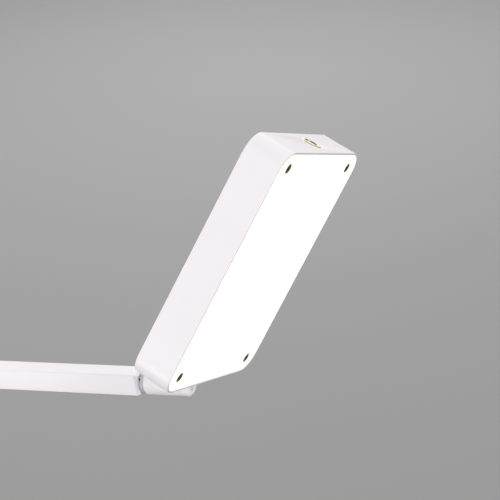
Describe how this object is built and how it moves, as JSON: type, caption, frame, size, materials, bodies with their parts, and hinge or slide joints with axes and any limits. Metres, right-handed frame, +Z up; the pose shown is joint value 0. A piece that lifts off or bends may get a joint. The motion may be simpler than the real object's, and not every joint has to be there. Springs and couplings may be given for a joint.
{
  "type": "folding led desk lamp",
  "caption": "Folding LED desk lamp: square tube arms on a round weighted base, with a flat glowing head that turns and tilts at the arm tip.",
  "frame": {"origin": "centre of the pad face that rests on the table", "axes": "+Z up out of the base, +X the way the upper arm points at rest, +Y away from the camera side"},
  "size_m": [0.376, 0.2091, 0.5064],
  "materials": {
    "painted_aluminium": "satin",
    "painted_steel": "satin",
    "opal_diffuser": "matte",
    "brass_screws": "satin",
    "brass_button": "satin",
    "board_aluminium": "matte",
    "light_packages": "gloss",
    "circuit_board": "gloss",
    "lead_jacket": "satin",
    "switch_plastic": "matte",
    "steel_hardware": "satin",
    "friction_nylon": "matte",
    "collar_grey": "satin",
    "weight_iron": "matte",
    "pad_rubber": "matte",
    "inlet_plastic": "satin"
  },
  "bodies": {
    "base": {"base_cover": "painted_steel", "base_weight": "weight_iron", "weight_screws": "steel_hardware", "floor_plate": "steel_hardware", "floor_screws": "steel_hardware", "base_pad": "pad_rubber", "power_inlet": "inlet_plastic", "inlet_contact": "steel_hardware"},
    "turret": {"turret": "painted_aluminium", "base_hinge_pin": "steel_hardware", "base_hinge_washers": "friction_nylon", "base_hinge_cap": "steel_hardware", "turret_washer": "steel_hardware", "turret_nut": "steel_hardware", "turret_lead": "lead_jacket"},
    "lower_arm": {"lower_arm_foot_plug": "painted_aluminium", "lower_arm_tube": "painted_aluminium", "lower_arm_eye_plug": "painted_aluminium", "lower_plug_screws": "steel_hardware", "lower_arm_lead": "lead_jacket", "elbow_bolt": "steel_hardware", "elbow_nut": "steel_hardware", "elbow_washer": "friction_nylon"},
    "upper_arm": {"upper_arm_eye_plug": "painted_aluminium", "upper_arm_tube": "painted_aluminium", "upper_plug_screws": "steel_hardware", "upper_arm_lead": "lead_jacket", "upper_arm_tip_plug": "painted_aluminium", "swivel_collar": "collar_grey", "slip_washers": "friction_nylon"},
    "barrel": {"swivel_barrel": "painted_aluminium", "swivel_stud": "steel_hardware", "swivel_nut": "steel_hardware", "swivel_spring_washer": "steel_hardware", "tilt_pin": "steel_hardware", "tilt_washers": "friction_nylon"},
    "head": {"head_housing": "painted_aluminium", "diffuser_plate": "opal_diffuser", "diffuser_screws": "brass_screws", "light_board": "board_aluminium", "light_packages": "light_packages", "board_screws": "steel_hardware", "driver_board": "circuit_board", "head_lead": "lead_jacket", "button_bezel": "brass_button", "button_nut": "brass_button", "button_switch": "switch_plastic", "hinge_tongue": "painted_aluminium", "tongue_screws": "steel_hardware"},
    "button": {"button_cap": "brass_button"}
  },
  "joints": [
    {"name": "base_swivel", "type": "hinge", "parent": "base", "child": "turret", "pos_m": [0, 0, 0.038], "axis": [0, 0, 1], "range_deg": [-160, 160]},
    {"name": "lower_arm_tilt", "type": "hinge", "parent": "turret", "child": "lower_arm", "pos_m": [0, 0, 0.038], "axis": [0, 1, 0], "range_deg": [-20, 25]},
    {"name": "elbow_fold", "type": "hinge", "parent": "lower_arm", "child": "upper_arm", "pos_m": [-0.12679, 0, 0.30989], "axis": [0, 1, 0], "range_deg": [-100, 20]},
    {"name": "head_turn", "type": "hinge", "parent": "upper_arm", "child": "barrel", "pos_m": [0.1703, 0.0141, 0.35164], "axis": [0.9903, 0, 0.1392], "range_deg": [-142, 178]},
    {"name": "head_tilt", "type": "hinge", "parent": "barrel", "child": "head", "pos_m": [0.1703, 0.0141, 0.35164], "axis": [-0.043, -0.9511, 0.306], "range_deg": [-60, 30]},
    {"name": "button_press", "type": "slide", "parent": "head", "child": "button", "axis": [-0.3805, -0.2676, -0.8852], "range_m": [0, 0.0008], "stiffness_N_per_m": 1500, "springref_m": -0.0005}
  ]
}
